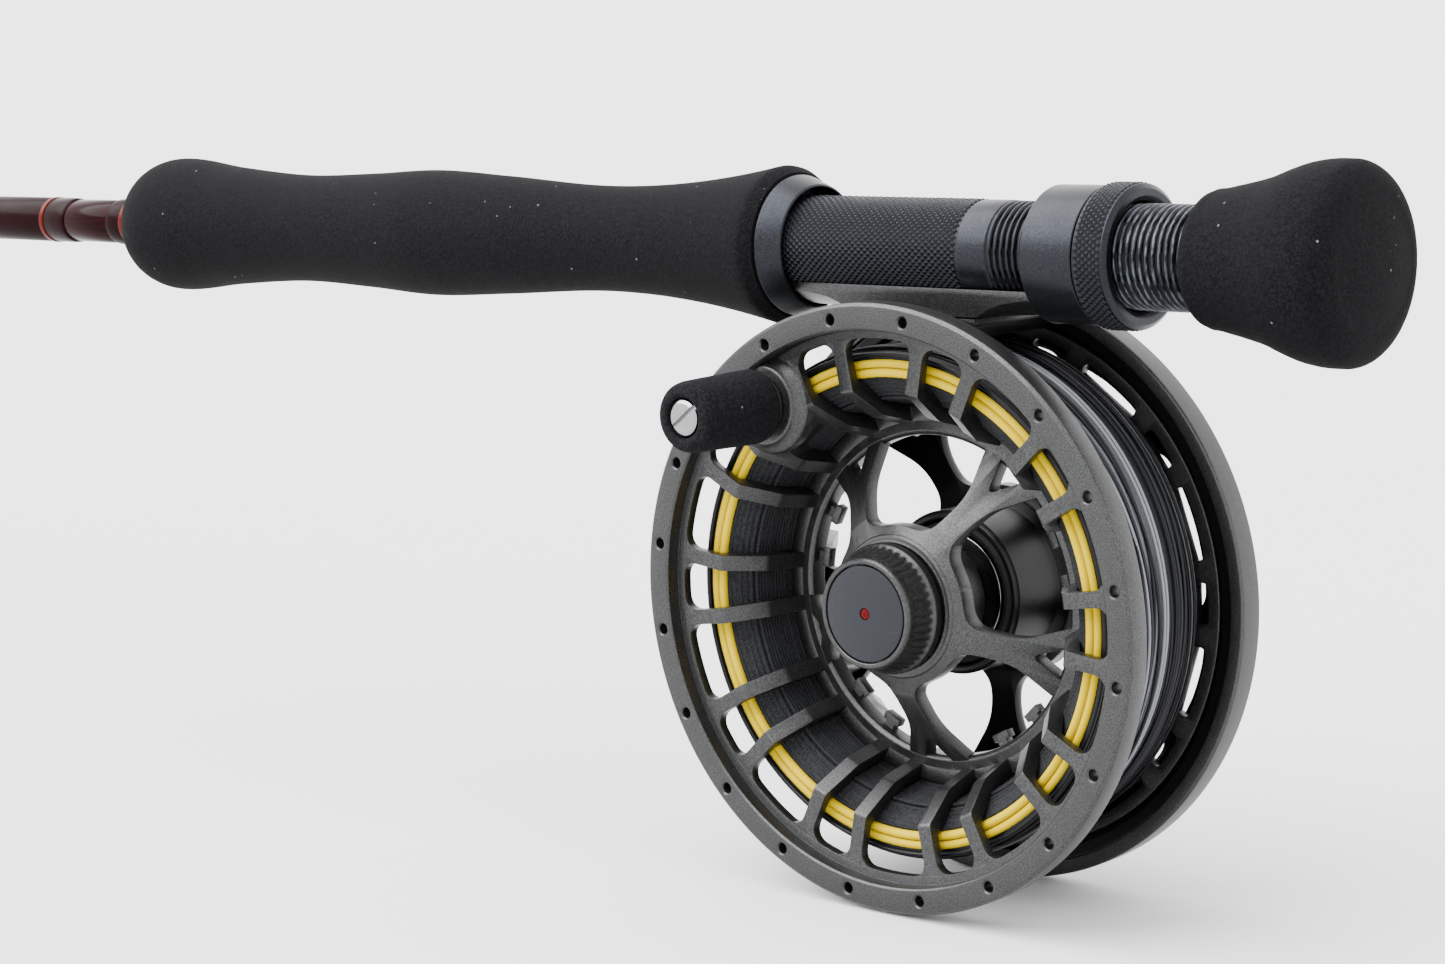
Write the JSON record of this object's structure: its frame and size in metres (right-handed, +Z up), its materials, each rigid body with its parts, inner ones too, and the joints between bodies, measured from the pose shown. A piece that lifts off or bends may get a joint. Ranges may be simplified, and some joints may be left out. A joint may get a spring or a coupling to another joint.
{
  "type": "fly rod butt section with fly reel",
  "caption": "Butt section of a fly rod with foam grip, locking reel seat and fighting butt, holding an open-spoked large-arbor reel with a crank, a drag and wound line.",
  "frame": {"origin": "on the rod's axis at the middle of the grip, where the hand closes round it", "axes": "+X runs along the rod towards the fighting butt, +Z is up, and the reel hangs below with its crank on the -Y side"},
  "size_m": [0.7205, 0.0657, 0.1292],
  "materials": {
    "anodised": "matt bead-blasted gunmetal anodising with fine speckle",
    "dark_anodised": "satin dark blue-grey anodising",
    "foam": "fine-grained black closed-cell foam",
    "gloss_blank": "clear-coated dark carbon with a deep red cast",
    "thread_wrap": "black thread under clear epoxy",
    "trim": "orange-red thread band under clear epoxy",
    "steel": "bright turned stainless steel",
    "ceramic": "polished dark ceramic",
    "backing_cord": "dark braided cord in close turns",
    "fly_line": "yellow coated line",
    "leader": "smoky semi-clear running line",
    "bush_plastic": "dark moulded polymer",
    "drag_disc": "matt carbon composite friction face",
    "seal_rubber": "moulded seal",
    "red_dot": "red paint"
  },
  "bodies": {
    "rod": {"reel_frame": "anodised", "reel_foot": "anodised", "seat_barrel": "dark_anodised", "fixed_hood": "dark_anodised", "grip": "foam", "fighting_butt": "foam", "seat_arbor_1": "foam", "seat_arbor_2": "foam", "blank": "gloss_blank", "ferrule_wrap": "thread_wrap", "guide_wrap_front": "thread_wrap", "guide_wrap_rear": "thread_wrap", "butt_wrap": "thread_wrap", "grip_wrap": "thread_wrap", "ferrule_wrap_trim_1": "trim", "guide_wrap_front_trim_1": "trim", "guide_wrap_rear_trim_1": "trim", "butt_wrap_trim_1": "trim", "butt_wrap_trim_2": "trim", "grip_wrap_trim_1": "trim", "stripping_guide": "steel", "hook_keeper": "steel", "foot_screw_1": "steel", "foot_screw_2": "steel", "spindle": "steel", "drag_spring": "steel", "guide_ring_insert": "ceramic", "drag_disc_1": "drag_disc", "drag_disc_2": "drag_disc", "drag_disc_3": "drag_disc", "housing_seal": "seal_rubber"},
    "sliding_hood": {"sliding_hood": "dark_anodised", "hood_snap_ring": "steel"},
    "lock_nut": {"lock_nut": "dark_anodised"},
    "spool": {"spool": "anodised", "backing_winding": "backing_cord", "fly_line_winding": "fly_line", "leader_winding": "leader", "knob_post_screw": "steel", "knob_washer": "steel", "knob_bush": "bush_plastic", "hub_bearing_front": "steel", "hub_bearing_rear": "steel", "one_way_clutch": "bush_plastic"},
    "crank_knob": {"crank_knob": "foam"},
    "cap_slider": {"cap_retaining_ring": "steel"},
    "release_cap": {"release_cap": "anodised", "cap_disc": "dark_anodised", "cap_dot": "red_dot"},
    "drag_knob": {"drag_knob": "dark_anodised"},
    "drag_rotor": {"drag_hub": "steel", "drag_plate_1": "steel", "drag_plate_2": "steel"}
  },
  "joints": [
    {"name": "spool_spin", "type": "hinge", "parent": "rod", "child": "spool", "pos_m": [0.122, -0.019, -0.06], "axis": [0, 1, 0], "continuous": true},
    {"name": "knob_spin", "type": "hinge", "parent": "spool", "child": "crank_knob", "pos_m": [0.09696, -0.03, -0.02628], "axis": [0, 1, 0], "continuous": true},
    {"name": "cap_slide", "type": "slide", "parent": "spool", "child": "cap_slider", "axis": [0, -1, 0], "range_m": [0, 0.003]},
    {"name": "cap_turn", "type": "hinge", "parent": "cap_slider", "child": "release_cap", "pos_m": [0.122, -0.019, -0.06], "axis": [0, -1, 0], "range_deg": [0, 1081]},
    {"name": "hood_slide", "type": "slide", "parent": "rod", "child": "sliding_hood", "axis": [1, 0, 0], "range_m": [0, 0.009]},
    {"name": "nut_turn", "type": "hinge", "parent": "sliding_hood", "child": "lock_nut", "pos_m": [0.162, 0, 0], "axis": [1, 0, 0], "range_deg": [0, 2161]},
    {"name": "drag_knob_turn", "type": "hinge", "parent": "rod", "child": "drag_knob", "pos_m": [0.122, 0.023, -0.06], "axis": [0, 1, 0], "range_deg": [0, 340]},
    {"name": "clutch_overrun", "type": "hinge", "parent": "spool", "child": "drag_rotor", "pos_m": [0.122, 0.01, -0.06], "axis": [0, 1, 0], "continuous": true}
  ],
  "couplings": [
    {"joint": "cap_turn", "follows": "cap_slide", "rad_per_m": 6283.2},
    {"joint": "nut_turn", "follows": "hood_slide", "rad_per_m": 4188.8}
  ]
}
